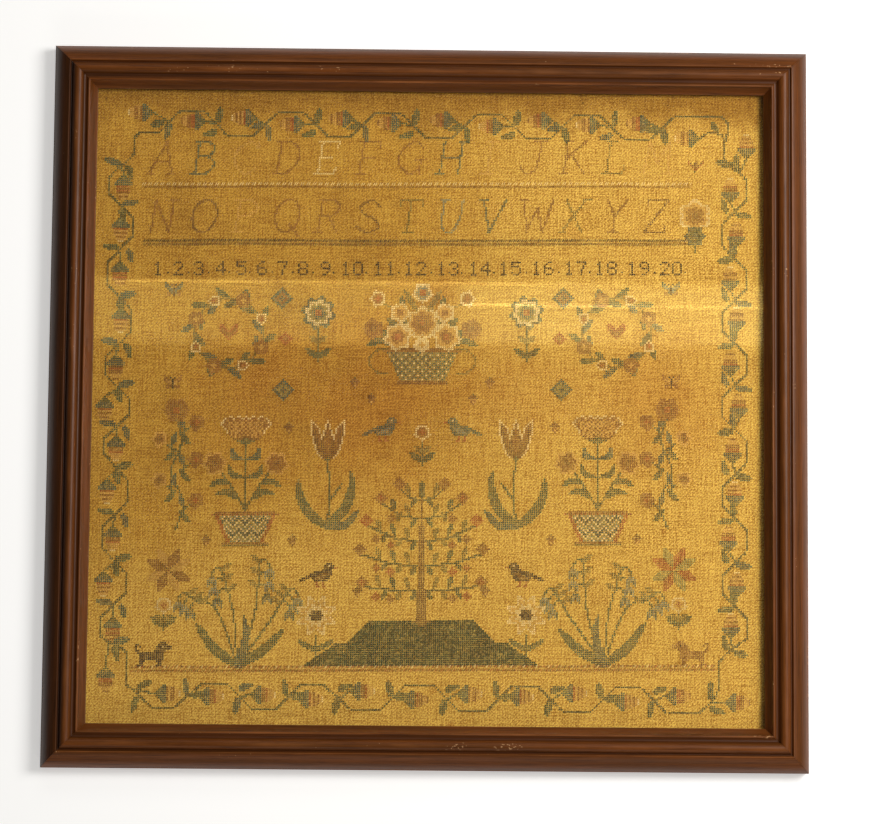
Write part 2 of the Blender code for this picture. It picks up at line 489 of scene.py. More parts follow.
def linenMaterial():
    material, tree, shader = newMaterial("tonedLinen")
    position = addNode(tree, "ShaderNodeTexCoord").outputs["Object"]
    axes = addNode(tree, "ShaderNodeSeparateXYZ")
    join(tree, position, axes.inputs[0])
    across, up = axes.outputs["X"], axes.outputs["Y"]
    wander = noiseAt(tree, position, 30.0, detail=2)
    strayX = calc(tree, "MULTIPLY_ADD", wander, 0.0016, across)
    strayY = calc(tree, "MULTIPLY_ADD", wander, -0.0016, up)
    turnX = calc(tree, "MULTIPLY", strayX, math.pi / linen["thread"])
    turnY = calc(tree, "MULTIPLY", strayY, math.pi / linen["thread"])
    sineX, sineY = calc(tree, "SINE", turnX), calc(tree, "SINE", turnY)
    over = calc(tree, "MULTIPLY_ADD", calc(tree, "MULTIPLY", sineX, sineY), 0.5, 0.5)
    slantwise = calc(tree, "MULTIPLY", calc(tree, "SUBTRACT", strayX, strayY), 2 * math.pi / linen["rib"])
    ribs = calc(tree, "MULTIPLY_ADD", calc(tree, "SINE", slantwise), 0.5, 0.5)
    warp = calc(tree, "MULTIPLY", calc(tree, "ABSOLUTE", sineX), over)
    weft = calc(tree, "MULTIPLY", calc(tree, "ABSOLUTE", sineY), calc(tree, "SUBTRACT", 1.0, over))
    height = calc(tree, "ADD", warp, weft)

    warpSlubs = noiseAt(tree, position, 1.0, (1080, 50, 1), 2, 0.6)
    weftSlubs = noiseAt(tree, position, 1.0, (50, 1080, 1), 2, 0.6, (4, 9, 0))
    fleck = noiseAt(tree, position, 920.0, detail=1, rough=0.6, offset=(3, 1, 0))
    slubs = calc(tree, "MULTIPLY_ADD", warpSlubs, 0.5, calc(tree, "MULTIPLY", weftSlubs, 0.5))
    slubs = calc(tree, "MULTIPLY_ADD", fleck, 0.5, calc(tree, "MULTIPLY", slubs, 0.5))
    colour = blendColours(
        tree, remap(tree, slubs, 0.37, 0.63), linear(linen["darkThread"]), linear(linen["paleThread"])
    )
    # where the warp or the weft lies on top, in faint slanting ribs
    checks = calc(tree, "MULTIPLY_ADD", over, 0.4, calc(tree, "MULTIPLY", ribs, 0.6))
    checks = blendColours(tree, checks, linen["weftTint"], linen["warpTint"])
    colour = blendColours(tree, 1.0, colour, checks, "MULTIPLY")
    # darker where the weave sinks: the holes between the threads, with painted shade in them
    holesAndShade = remap(tree, height, 0.02, 0.34, 0.66, 0.0)
    colour = blendColours(tree, holesAndShade, colour, linear(linen["holeAndShade"]))

    # toning, paler linen towards the right and the bottom, and painted shade along the top edge, as tints
    # over the weave
    mottle = noiseAt(tree, position, 26.0, detail=5, rough=0.62)
    tinted = remap(tree, mottle, 0.45, 0.75, 0.0, 0.55)
    tint = blendColours(tree, tinted, (1.0, 1.0, 1.0, 1.0), linen["toneAndShadeTint"])
    # linen paler and less yellow towards the right and towards the bottom
    ragged = calc(tree, "MULTIPLY_ADD", mottle, 0.08, -0.04)
    right = remap(tree, calc(tree, "ADD", ragged, across), -0.03, 0.09)
    down = calc(tree, "MULTIPLY_ADD", across, 0.3, calc(tree, "MULTIPLY", up, -1.0))
    low = remap(tree, calc(tree, "ADD", ragged, down), 0.0, 0.10)
    tint = blendColours(tree, calc(tree, "MAXIMUM", right, low), tint, linen["palerTint"])
    # a darker strip along the top sight edge: painted shade from the top rail, together with toning
    edge = calc(tree, "MULTIPLY_ADD", mottle, 0.05, up)
    tint = blendColours(tree, remap(tree, edge, 0.208, 0.238), tint, linen["toneAndShadeTint"])
    colour = blendColours(tree, 1.0, colour, tint, "MULTIPLY")
    # stains, and the broad patches of painted shade, each as a tint
    for (x, y), wide, strong in linen["stainsAndShade"]:
        away = addNode(tree, "ShaderNodeVectorMath", operation="DISTANCE")
        join(tree, position, away.inputs[0])
        away.inputs[1].default_value = (x, y, linen["face"])
        ragged = calc(tree, "MULTIPLY_ADD", mottle, wide, away.outputs["Value"])
        spot = remap(tree, ragged, 0.4 * wide, 1.5 * wide, strong, 0.0)
        colour = blendColours(tree, spot, colour, linen["stainAndShadeTint"], "MULTIPLY")
    dots = noiseAt(tree, position, 300.0, detail=1)
    dots = calc(tree, "MULTIPLY", remap(tree, dots, 0.72, 0.78), remap(tree, up, 0.19, 0.208, 0.05, 0.8))
    colour = blendColours(tree, dots, colour, linear(linen["holeAndShade"]))
    join(tree, colour, shader.inputs["Base Color"])
    shader.inputs["Roughness"].default_value = 0.92
    shader.inputs["Sheen Weight"].default_value = 0.08
    shader.inputs["Specular IOR Level"].default_value = 0.15
    addBump(tree, shader, calc(tree, "MULTIPLY_ADD", slubs, 0.4, height), 0.5, 0.22 * mm)
    return material


def makeLinen():
    columns, rows = linen["cells"]
    points, faces = [], []
    for row in range(rows + 1):
        for column in range(columns + 1):
            x = (column / columns - 0.5) * linen["width"]
            y = (row / rows - 0.5) * linen["height"]
            points.append((x, y, linenHeight(x, y)))
    wide = columns + 1
    for row in range(rows):
        for column in range(columns):
            first = row * wide + column
            faces.append((first, first + 1, first + wide + 1, first + wide))
    rim = list(range(wide))
    rim += [row * wide + columns for row in range(1, rows + 1)]
    rim += [rows * wide + column for column in reversed(range(columns))]
    rim += [row * wide for row in reversed(range(1, rows))]
    first = len(points)
    for number in rim:
        points.append((points[number][0], points[number][1], linen["back"]))
    for number in range(len(rim)):
        after = (number + 1) % len(rim)
        faces.append((rim[number], first + number, first + after, rim[after]))
    faces.append(tuple(first + number for number in reversed(range(len(rim)))))
    cloth = newPiece("linen_ground", points, faces, linenMaterial())
    cloth.data.set_sharp_from_angle(angle=math.radians(50))
    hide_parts("sampler_cloth")
    print("linen made")


# Charts. A chart is a dictionary of crosses, (column, row) to thread, counted from the cloth's middle.

threads = {
    "g": ("leafGreen", (24, 70, 40)),
    "d": ("blueGreen", (16, 74, 62)),
    "u": ("paleBlue", (78, 116, 108)),
    "o": ("olive", (74, 76, 26)),
    "v": ("vineGreen", (26, 60, 34)),
    "e": ("paleGreen", (124, 130, 68)),
    "m": ("moundGreen", (22, 54, 20)),
    "c": ("cream", (250, 216, 148)),
    "y": ("straw", (222, 160, 70)),
    "t": ("tan", (132, 68, 12)),
    "b": ("brown", (94, 48, 12)),
    "r": ("rust", (164, 50, 6)),
    "k": ("darkBrown", (22, 12, 8)),
}


def path(text):
    # "3,4 5,6" as points
    return [tuple(int(number) for number in point.split(",")) for point in text.split()]


def smoothLine(points, gap=0.3):
    if len(points) < 3:
        steps = max(1, int(math.dist(points[0], points[-1]) / gap))
        (x, y), (endX, endY) = points[0], points[-1]
        return [(x + (endX - x) * s / steps, y + (endY - y) * s / steps) for s in range(steps + 1)]
    closed = points[0] == points[-1]
    before = points[-2] if closed else points[0]
    after = points[1] if closed else points[-1]
    ends = [before, *points, after]
    line = []
    for number in range(1, len(ends) - 2):
        p, q, r, s = ends[number - 1 : number + 3]
        steps = max(2, int(math.dist(q, r) / gap))
        for step in range(steps):
            w = step / steps
            line.append(tuple(
                0.5 * (
                    2 * b + (c - a) * w + (2 * a - 5 * b + 4 * c - d) * w**2
                    + (3 * b - a - 3 * c + d) * w**3
                )
                for a, b, c, d in zip(p, q, r, s)
            ))
    line.append(points[-1])
    return line


def stroke(chart, points, thread, wide=(1, 1, 1)):
    # a line of crosses, with its width at the start, the middle and the end
    line = smoothLine(points)
    for number, (x, y) in enumerate(line):
        share = number / max(1, len(line) - 1)
        start, middle, end = wide
        width = start + (end - start) * share + (middle - (start + end) / 2) * 4 * share * (1 - share)
        if width < 1.6:
            chart[(round(x), round(y))] = thread
            continue
        reach = math.ceil(width / 2)
        for i in range(round(x) - reach, round(x) + reach + 1):
            for j in range(round(y) - reach, round(y) + reach + 1):
                if math.hypot(i - x, j - y) < width / 2:
                    chart[(i, j)] = thread


def pixels(chart, left, top, rows, flip=False, swap=None):
    wide = max(len(row) for row in rows)
    for down, row in enumerate(rows):
        for across, key in enumerate(row):
            if key != ".":
                i = wide - 1 - across if flip else across
                chart[(left + i, top - down)] = (swap or {}).get(key, key)


def halfPixels(chart, middle, top, rows, swap=None):
    # rows run from the middle column out to the right
    for down, row in enumerate(rows):
        for across, key in enumerate(row):
            if key != ".":
                thread = (swap or {}).get(key, key)
                chart[(middle + across, top - down)] = thread
                chart[(middle - across, top - down)] = thread


def bloom(chart, i, j, radius, petals, rings, start=0.0, notch=0.24):
    # an open flower: rings are threads from the middle out, notch is how deep its petals part
    for x in range(-radius - 1, radius + 2):
        for y in range(-radius - 1, radius + 2):
            turn = math.atan2(y, x) + start
            edge = radius * (1.04 - notch + notch * abs(math.cos(turn * petals / 2)))
            far = math.hypot(x, y)
            if far <= edge:
                ring = min(len(rings) - 1, int(far / edge * len(rings)))
                chart[(i + x, j + y)] = rings[ring]


def leaf(chart, i, j, turn, length, thread, wide=3.2, bend=0.0):
    angle = math.radians(turn)
    tip = (i + length * math.cos(angle), j + length * math.sin(angle))
    middle = (
        (i + tip[0]) / 2 - bend * math.sin(angle),
        (j + tip[1]) / 2 + bend * math.cos(angle),
    )
    stroke(chart, [(i, j), middle, tip], thread, (1, wide, 1))


def mirrored(chart, axis):
    both = dict(chart)
    for (i, j), thread in chart.items():
        both[(2 * axis - i, j)] = thread
    return both


# Border: a strawberry vine that grows anticlockwise round the cloth

border = {
    # quarter turns, how far out the vine's middle line is, the middles of its waves (the first
    # is an outer one), and how far in a berry sits beside an outer and beside an inner wave
    "sides": {
        "bottom": (0, 142, (-127, -102, -78, -55, -29, -3, 23, 48, 74, 98, 123), 2, 0),
        "right": (1, 150, (-107, -86, -64, -43, -21, 1, 22, 43, 64, 86, 109), 2, -1),
        "top": (2, 139, (-126, -102, -77, -53, -29, -4, 22, 45, 69, 94, 118), 0, -3),
        "left": (3, 152, (-108, -87, -64, -40, -18, 2, 21, 43, 66, 88, 109), 0, -5),
    },
    "wave": 6,
    "berryWidths": (1, 3, 5, 7, 9, 9, 7, 7, 7, 7, 5, 5, 3),
    "capColumns": 6,
    "berryBodies": ("rttyyty", "rytytyc", "rrttyyt", "tyttyyc", "brttyyt", "rtrtyty", "ttryyyc"),
    # each corner: its vine, its leaves from foot to tip, and its berries, each with where the
    # stem starts, where the cap starts and the quarter turns that it grows in
    "corners": (
        {
            "vine": (
                "127,-148 132,-148 138,-143 141,-139 142,-134 142,-125 145,-120 153,-114 156,-111",
            ),
            "leaves": "138,-141 138,-133; 138,-146 145,-148; 150,-119 156,-120; 146,-117 144,-111",
            "berries": (("139,-143 145,-143", 0), ("149,-118 148,-112", 1)),
        },
        {
            "vine": (
                "156,113 154,116 147,121 145,125 145,133 143,136 138,137 134,135",
                "145,131 147,138 146,143 142,145 130,145",
            ),
            "leaves": "149,121 141,122; 151,119 151,126; 141,138 139,142",
            "berries": (("153,118 156,124", 1), ("136,136 133,134", 2)),
        },
        {
            "vine": (
                "-122,145 -125,144 -133,135 -136,134 -143,134 -146,131 -146,124 -149,120 -156,114 -158,110",
            ),
            "leaves": "-129,138 -131,131; -132,139 -138,138; -153,118 -160,121; -149,117 -147,111",
            "berries": (("-130,140 -137,144", 2), ("-152,117 -151,113", 3)),
        },
        {
            "vine": (
                "-158,-111 -156,-115 -148,-119 -145,-123 -145,-135 -142,-139 -135,-145 -132,-148",
            ),
            "leaves": "-151,-116 -144,-115; -151,-119 -149,-125; -140,-143 -142,-150; -139,-138 -133,-135",
            "berries": (("-154,-117 -155,-128", 3), ("-142,-139 -131,-141", 0)),
        },
    ),
}


def sideToCloth(turns, out, s, t):
    # s runs along the vine's growth, t in towards the middle of the cloth
    return ((s, t - out), (out - t, s), (-s, out - t), (t - out, -s))[turns]


def makeBorderChart():
    chart = {}
    dice = random.Random(5)

    def drawLeaf(foot, tip):
        middle = ((foot[0] + tip[0]) / 2, (foot[1] + tip[1]) / 2)
        stroke(chart, [foot, middle, tip], dice.choice("ggd"), (1.8, 3.5, 1))

    def drawBerry(foot, cap, turns):
        stroke(chart, [foot, cap], "g")
        body = dice.choice(border["berryBodies"])
        for column, wide in enumerate(border["berryWidths"]):
            inCap = column < border["capColumns"]
            thread = "d" if inCap and column > 2 else "g"
            if not inCap:
                thread = body[column - border["capColumns"]]
            for row in range(-(wide // 2), wide // 2 + 1):
                i, j = sideToCloth(turns, 0, column, row)
                chart[(round(cap[0]) + i, round(cap[1]) + j)] = thread

    wave = border["wave"]
    for name, (turns, out, middles, outerSeat, innerSeat) in border["sides"].items():
        for number, middle in enumerate(middles):
            level = -wave if number % 2 == 0 else wave
            last = number == len(middles) - 1
            gap = 22 if last else middles[number + 1] - middle
            gapBack = middle - middles[number - 1] if number else 22
            half = min(gap, gapBack) / 2 - wave
            ends = [(middle - half, level), (middle + half, level)]
            stroke(chart, [sideToCloth(turns, out, s, t) for s, t in ends], "v")
            if last:
                continue
            nextHalf = gap / 2 - wave
            ends = [(middle + half, level), (middles[number + 1] - nextHalf, -level)]
            stroke(chart, [sideToCloth(turns, out, s, t) for s, t in ends], "v")
            crossing = middle + gap / 2
            if level < 0:
                leaves = (((-1, 1), (-2, 8)), ((2, 0), (7, 2)))
                seat = innerSeat if name != "left" or number > 3 else 0
            else:
                leaves = (((-1, -1), (-2, -8)), ((0, 4), (6, 6)))
                seat = outerSeat
            for foot, tip in leaves:
                foot, tip = (sideToCloth(turns, out, crossing + s, t) for s, t in (foot, tip))
                drawLeaf(foot, tip)
            seat += dice.choice((-1, 0, 0, 1))
            foot = sideToCloth(turns, out, crossing + 1, 0)
            drawBerry(foot, sideToCloth(turns, out, crossing + 5, seat), turns)
    for corner in border["corners"]:
        for line in corner["vine"]:
            stroke(chart, path(line), "v")
        for line in corner["leaves"].split("; "):
            drawLeaf(*path(line))
        for line, turns in corner["berries"]:
            drawBerry(*path(line), turns)
    return chart


# Letters and numerals

letters = {
    # the strokes of each, as columns and rows from its foot
    "A": "0,0 6,16; 6,16 11,0; 2,6 9,6; -1,0 2,0; 9,0 12,0",
    "B": "2,0 2,16; 0,16 6,16 10,13 7,9 2,9; 7,9 11,5 7,0 0,0",
    "C": "11,13 7,16 2,13 0,8 2,3 7,0 11,3; 11,13 11,16",
    "D": "2,0 2,16; 0,16 6,16 11,12 11,5 6,0 0,0",
    "E": "2,0 2,16; 0,16 10,16; 2,8 8,8; 0,0 10,0; 10,0 10,3; 10,16 10,13",
    "F": "2,0 2,16; 0,16 10,16; 2,8 8,8; 0,0 5,0; 10,16 10,13",
    "G": "11,13 7,16 2,13 0,8 2,3 7,0 11,3; 11,0 11,7; 8,7 13,7",
    "H": "1,0 1,16; 10,0 10,16; 1,8 10,8; -1,0 3,0; 8,16 12,16",
    "I": "4,0 4,16; 1,16 7,16; 1,0 7,0",
    "J": "8,16 8,8 7,2 4,0 1,1 0,4; 5,16 11,16",
    "K": "1,0 1,16; 10,16 1,7; 4,9 11,0; -1,16 3,16; -1,0 3,0",
    "L": "2,16 2,0; 0,16 5,16; 0,0 10,0; 10,0 10,4",
    "M": "0,0 1,16; 1,16 6,5; 6,5 11,16; 11,16 12,0; 10,0 14,0",
    "N": "1,0 1,16; 1,16 10,0; 10,0 10,16; 8,16 12,16",
    "O": "6,16 10,14 12,8 10,2 6,0 2,2 0,8 2,14 6,16",
    "P": "2,0 2,16; 0,16 7,16 11,12 7,8 2,8; 0,0 5,0",
    "Q": "6,16 10,14 12,8 10,2 6,0 2,2 0,8 2,14 6,16; 7,4 13,-2",
    "R": "2,0 2,16; 0,16 7,16 11,12 7,8 2,8; 6,8 11,0; 0,0 4,0",
    "S": "10,13 6,16 1,13 3,9 8,7 11,3 6,0 0,3",
    "T": "0,16 11,16; 5,16 5,0; 3,0 8,0; 0,13 0,16; 11,13 11,16",
    "U": "1,16 1,8 2,2 5,0 8,2 10,8 10,16; -1,16 3,16",
    "V": "0,16 5,0; 5,0 11,16; -2,16 2,16",
    "W": "0,16 3,0; 3,0 7,12; 7,12 11,0; 11,0 14,16; -2,16 2,16",
    "X": "0,16 10,0; 10,16 0,0; -1,0 2,0; 8,16 12,16",
    "Y": "0,16 5,8; 10,16 5,8; 5,8 5,0; 3,0 8,0",
    "Z": "0,16 10,16; 10,16 0,0; 0,0 10,0; 0,13 0,16; 10,0 10,3",
}
alphabet = {
    # row: first column, foot, letters, and the thread of each
    "upper": (-138, 115, "ABCDEFGHIJKLM", "tdytcttdyttoy"),
    "lower": (-138, 86, "NOPQRSTUVWXYZ", "tbyttboudtotb"),
    "step": 20.3,
    "slant": 0.16,
}
numerals = {
    "first": -135.0,  # left edge of the line, in columns
    "digitStep": 6.0,
    "gap": 4.2,  # after a number, for its dot
    "0": (".kkk.", "k...k", "k...k", "k...k", "k...k", "k...k", ".kkk."),
    "1": ("..k..", ".kk..", "..k..", "..k..", "..k..", "..k..", ".kkk."),
    "2": (".kkk.", "k...k", "....k", "...k.", "..k..", ".k...", "kkkkk"),
    "3": (".kkk.", "k...k", "....k", "..kk.", "....k", "k...k", ".kkk."),
    "4": ("...k.", "..kk.", ".k.k.", "k..k.", "kkkkk", "...k.", "...k."),
    "5": ("kkkkk", "k....", "kkkk.", "....k", "....k", "k...k", ".kkk."),
    "6": ("..kk.", ".k...", "k....", "kkkk.", "k...k", "k...k", ".kkk."),
    "7": ("kkkkk", "....k", "...k.", "...k.", "..k..", "..k..", "..k.."),
    "8": (".kkk.", "k...k", "k...k", ".kkk.", "k...k", "k...k", ".kkk."),
    "9": (".kkk.", "k...k", "k...k", ".kkkk", "....k", "...k.", ".kk.."),
}


def makeLetterChart():
    chart = {}
    for row in ("upper", "lower"):
        first, foot, names, colours = alphabet[row]
        for number, (name, thread) in enumerate(zip(names, colours)):
            left = first + number * alphabet["step"]
            for line in letters[name].split("; "):
                points = [(left + x + y * alphabet["slant"], foot + y) for x, y in path(line)]
                stroke(chart, points, thread)
    # the large berry at the end of the second row, and the bud above it
    bloom(chart, 131, 94, 8, 6, "bttyc", math.pi / 2)
    bloom(chart, 131, 84, 5, 6, "dgd")
    stroke(chart, [(131, 79), (131, 76)], "g")
    pixels(chart, 128, 121, ("r...b..r", "rb.bb.br", ".rbttbr.", "..rttr..", "...rr...", "...g...."))
    left = numerals["first"]
    for number in range(1, 21):
        for digit in str(number):
            pixels(chart, round(left), 71, numerals[digit])
            left += numerals["digitStep"]
        chart[(round(left + 0.5), 66)] = "k"
        left += numerals["gap"] if number < 10 else numerals["gap"] - 0.5
    return chart


# Field: ordinary flowers, leaves, birds and beasts, in pairs about the middle

carnation = (
    "c..cc..cc....",
    "tcctttctttc..",
    "yttyttyttytc.",
    "tyytyytyyttcc",
    "ytyytyytytttc",
    "tyytyytyyttc.",
    "ytyytyytytc..",
    "tytyytyytc...",
    "ytytyytytc...",
    "tytytytyt....",
    "bbtytytb.....",
    "ggbbbbb......",
    "ggggg........",
    "ggg..........",
)
tulip = (
    "c.......c",
    "c......cc",
    "bc....cbc",
    "bc...cbbc",
    "bc..ctbbc",
    "tbc.ctbbc",
    "tbc.ctbbc",
    "tbcctbbbc",
    "tbbctbbc.",
    "ttbctbbc.",
    "ttbbtbbc.",
    "ttbbtbbc.",
    "ttbbtbc..",
    "tbbbtbc..",
    "tbbbbbc..",
    "ttbbbc...",
    "tbbbbc...",
    "bbbbc....",
    "gbbc.....",
    "gg.......",
)
bird = (
    "...kkk.............",
    "..kkckk............",
    "rrkkkkk............",
    "...kkkkk...........",
    "...kkkkkkkkk.......",
    "...kkbbbkkkkkk.....",
    "....kkbbbbkkkkkk...",
    "....kkkbbbbkk.kkkk.",
    ".....kkkkkkk....kkk",
    ".......r..r........",
    ".......r..r........",
    "......rr.rr........",
)
dog = (
    "............kkk....",
    "kk.........kkkkk...",
    "k.k.......kkkckkkk.",
    "k.........kkkkkkkk.",
    "kk.......kkkkkk....",
    ".kkkkkkkkkkkkk.....",
    "..kkkkkkkkkkkk.....",
    "..kkkkkkkkkkkk.....",
    "..kkkkkkkkkkkk.....",
    "..kkk.....kkk......",
    "..kk.......kk......",
    ".kkk......kkk......",
)
heart = (
    "rr.....rr",
    "rrr...rrr",
    "rtrr.rrtr",
    "rttrrrttr",
    ".rtttttr.",
    "..rtttr..",
    "...rtr...",
    "....r....",
)
butterfly = (
    "d.......d",
    "dd.k.k.dd",
    "dud.k.dud",
    ".duukuud.",
    "..duku...",
    ".ttdkdtt.",
    ".tt.k.tt.",
)
snowdrop = (
    "..oo.",
    ".uuu.",
    "uuuuu",
    "ududu",
    "ud.du",
    "u...u",
)
acorn = (
    "..o..",
    ".bbb.",
    "bbbbb",
    ".ttt.",
    ".tyt.",
    "..t..",
)

field = {
    "middle": -3,  # the column that the pairs stand about
    "ground": -128,
    "groundEnds": (-143, 140),
    "turn": 0.0107,  # how far the worked rows rise a column
}


def makeStar(chart, i, j, first, second):
    for x in range(0, 6):
        for y in range(x + 1, x + 7):
            for sx in (-1, 1):
                for sy in (-1, 1):
                    if x < 5 or y < 11:
                        chart[(i + sx * x, j + sy * y)] = first if sx == sy else second
                        chart[(i + sx * y, j + sy * x)] = second if sx == sy else first
    for x in range(0, 6):
        for sx in (-1, 1):
            for sy in (-1, 1):
                chart[(i + sx * x, j + sy * x)] = "b" if x else "r"


def makeBasket(chart, i, j):
    # a lattice basket on a foot, heaped with blossoms
    for down in range(15):
        half = 17 - round(down * 0.45)
        for x in range(-half, half + 1):
            lattice = (x + down) % 4 == 0 or (x - down) % 4 == 0
            chart[(i + x, j - down)] = "d" if lattice else ("e" if (x + down) % 2 else "c")
    for x in range(-19, 20):
        chart[(i + x, j + 1)] = "b"
        chart[(i + x, j)] = "t"
    for x in range(-12, 13):
        chart[(i + x, j - 15)] = "b"
        chart[(i + x, j - 16)] = "t" if x % 2 else "b"
    half = {}
    handle = [math.radians(turn) for turn in range(110, -130, -20)]
    stroke(half, [(i + 19 + 7 * math.cos(a), j - 5 + 6 * math.sin(a)) for a in handle], "o")
    for turn, length in ((18, 17), (52, 14), (84, 22)):
        leaf(half, i + 8, j + 5, turn, length, "g", 4.0)
    leaf(half, i + 14, j + 3, 0, 13, "g", 3.6, 2)
    leaf(half, i + 3, j + 20, 60, 11, "o", 3.2)
    stroke(half, [(i + 8, j + 8), (i + 14, j + 20), (i + 21, j + 24)], "o")
    bloom(half, i + 22, j + 26, 4, 5, "rtc")
    bloom(half, i + 12, j + 7, 7, 6, "rtyc", 0.3)
    bloom(half, i + 24, j + 11, 5, 5, "btt")
    bloom(half, i + 11, j + 19, 5, 5, "tyc", 0.6)
    chart.update(mirrored(half, i))
    bloom(chart, i, j + 14, 8, 7, "rbttyc", 0.2)
    bloom(chart, i, j + 29, 5, 5, "ruc", math.pi / 2)
    bloom(chart, i, j + 3, 4, 5, "ycc", 0.4)


def makeWreath(chart, i, j, radius):
    for number in range(20):
        turn = 18 * number
        x = i + radius * math.cos(math.radians(turn))
        y = j + radius * math.sin(math.radians(turn))
        lean = turn + (52 if number % 2 else 128)
        leaf(chart, x, y, lean, 8, "g" if number % 3 else "d", 3.3)
    turns = [number * math.pi / 8 for number in range(17)]
    ring = [(i + radius * math.cos(turn), j + radius * math.sin(turn)) for turn in turns]
    stroke(chart, ring, "o")
    for number in range(8):
        turn = math.radians(45 * number + 22.5)
        x, y = round(i + radius * math.cos(turn)), round(j + radius * math.sin(turn))
        bloom(chart, x, y, 4 if number % 2 else 3, 5, ("rtc", "ytt")[number % 2], turn)


def makeTulipPlant(chart, i, foot):
    stroke(chart, [(i, foot), (i + 1, foot + 18), (i, foot + 34)], "g", (2, 1, 1))
    for line, thread, middle in (
        ("0,2 8,9 12,20 11,28", "g", 5),
        ("0,1 -8,7 -13,15 -14,24", "g", 5),
        ("0,1 9,2 15,9", "d", 4),
    ):
        stroke(chart, [(i + x, foot + y) for x, y in path(line)], thread, (3, middle, 1))
    halfPixels(chart, i, foot + 53, tulip)
    stroke(chart, [(i + 1, foot + 14), (i + 7, foot + 22)], "g")


def makeCarnationPot(chart, i, foot):
    for up in range(13):
        half = 9 + round(up * 0.42)
        for x in range(-half, half + 1):
            zigzag = (up + abs((x + 60) % 6 - 3)) % 6
            thread = "r" if abs(x) >= half - 1 else ("d", "c", "u", "e", "c", "d")[zigzag]
            chart[(i + x, foot + 2 + up)] = thread
    for x in range(-16, 17):
        chart[(i + x, foot + 15)] = "b" if x % 2 else "r"
        if abs(x) < 15:
            chart[(i + x, foot + 16)] = "t"
    for x in range(-11, 12):
        chart[(i + x, foot)] = "o"
        chart[(i + x, foot + 1)] = "t"
    top = foot + 17
    half = {}
    stroke(half, [(i, top), (i + 7, top + 12), (i + 13, top + 20)], "g")
    leaf(half, i + 4, top + 6, 10, 10, "g", 3.4, 2)
    leaf(half, i + 8, top + 13, -8, 9, "g", 3.0, 2)
    leaf(half, i + 1, top + 16, 38, 9, "g", 3.2, -2)
    leaf(half, i + 1, top + 25, 42, 8, "d", 3.0, -2)
    bloom(half, i + 15, top + 23, 6, 6, "btty", 0.2)
    chart.update(mirrored(half, i))
    stroke(chart, [(i, top), (i, top + 34)], "g")
    halfPixels(chart, i, top + 46, carnation)


def makeFruitTree(chart, i, foot):
    half = {}
    fruits = ("rt", "tt", "rr")
    boughs = ((15, 29, 2), (27, 30, 6), (39, 27, 8), (50, 20, 8), (59, 11, 6))
    for number, (up, reach, rise) in enumerate(boughs):
        base = foot + up
        stroke(half, [(i, base), (i + reach * 0.5, base + rise * 0.2), (i + reach, base + rise)], "v")
        for step in range(6, reach - 3, 7):
            rose = base + rise * (step / reach) ** 1.8
            leaf(half, i + step, rose + 1, 72, 5, "g" if step % 2 else "o", 2.6)
            leaf(half, i + step - 3, rose - 1, -62, 4, "o" if step % 2 else "g", 2.4)
            if step in (13, 20):
                bloom(half, i + step + 2, round(rose) - 4, 2, 4, fruits[(number + step) % 3])
        bloom(half, i + reach, base + rise + 2, 3, 4, fruits[number % 3])
    chart.update(mirrored(half, i))
    stroke(chart, [(i, foot), (i, foot + 62)], "b", (5, 3, 1))
    leaf(chart, i, foot + 60, 90, 8, "g", 3.2)
    stroke(chart, [(i - 4, foot), (i + 4, foot)], "b", (2, 2, 2))


def makeBudSpray(chart, i, foot):
    # a waving stem with tan buds on both sides
    line = [(i, foot), (i + 4, foot + 13), (i - 2, foot + 28), (i + 3, foot + 43), (i, foot + 54)]
    stroke(chart, line, "g")
    for up, side in ((8, 1), (18, -1), (28, 1), (38, -1), (46, 1)):
        x = i + (2 if side > 0 else 0)
        stroke(chart, [(x, foot + up), (x + 5 * side, foot + up + 4)], "g")
        bloom(chart, x + 8 * side, foot + up + 6, 4, 5, "rtt" if side > 0 else "bty", 0.5)
        leaf(chart, x, foot + up + 1, 90 - 140 * side, 7, "g", 3.0)
        leaf(chart, x + 2 * side, foot + up + 3, 90 + 20 * side, 6, "d", 2.8)
    bloom(chart, i, foot + 58, 6, 6, "rbtt")


def makeBellSpray(chart, i, foot):
    for stem in ("-24,34 -10,26", "-8,46 -2,24", "10,50 8,24", "24,36 16,22"):
        end, middle = path(stem)
        line = [(i, foot), (i + middle[0], foot + middle[1]), (i + end[0], foot + end[1])]
        stroke(chart, line, "g")
        side = 1 if end[0] > 0 else -1
        for share in (0.55, 0.78, 1.0):
            x = round(i + middle[0] + (end[0] - middle[0]) * share)
            y = round(foot + middle[1] + (end[1] - middle[1]) * share)
            stroke(chart, [(x, y), (x + 3 * side, y + 1), (x + 5 * side, y - 2)], "g")
            swap = {} if share > 0.6 else {"u": "d", "d": "u"}
            pixels(chart, x + 5 * side - 2, y - 3, snowdrop, swap=swap)
            leaf(chart, x, y, 90 + 50 * side, 5, "o", 2.4)
    stroke(chart, [(i, foot), (i - 11, foot + 8), (i - 20, foot + 20)], "g", (3, 5, 1))
    stroke(chart, [(i, foot), (i + 12, foot + 7), (i + 22, foot + 17)], "g", (3, 5, 1))
    stroke(chart, [(i, foot), (i + 4, foot + 12), (i + 3, foot + 24)], "d", (3, 4, 1))


def makeSprig(chart, i, foot, thread="t", tall=12):
    stroke(chart, [(i, foot), (i, foot + tall)], "g")
    for side in (-1, 1):
        leaf(chart, i, foot + 2, 90 - 55 * side, 7, "g", 3.0)
        leaf(chart, i, foot + tall // 2, 90 - 50 * side, 5, "o", 2.6)
    bloom(chart, i, foot + tall + 3, 4, 5, ("r", thread, "c"), math.pi / 2)


def makeDiamond(chart, i, j, size, rim, inside):
    for x in range(-size, size + 1):
        for y in range(-size, size + 1):
            far = abs(x) + abs(y)
            if far <= size:
                chart[(i + x, j + y)] = rim if far >= size - 1 or far < 2 else inside


def makeDaisy(chart, i, j):
    bloom(chart, i, j, 10, 8, "cccyc", 0.4, 0.62)
    bloom(chart, i, j, 3, 6, "k")


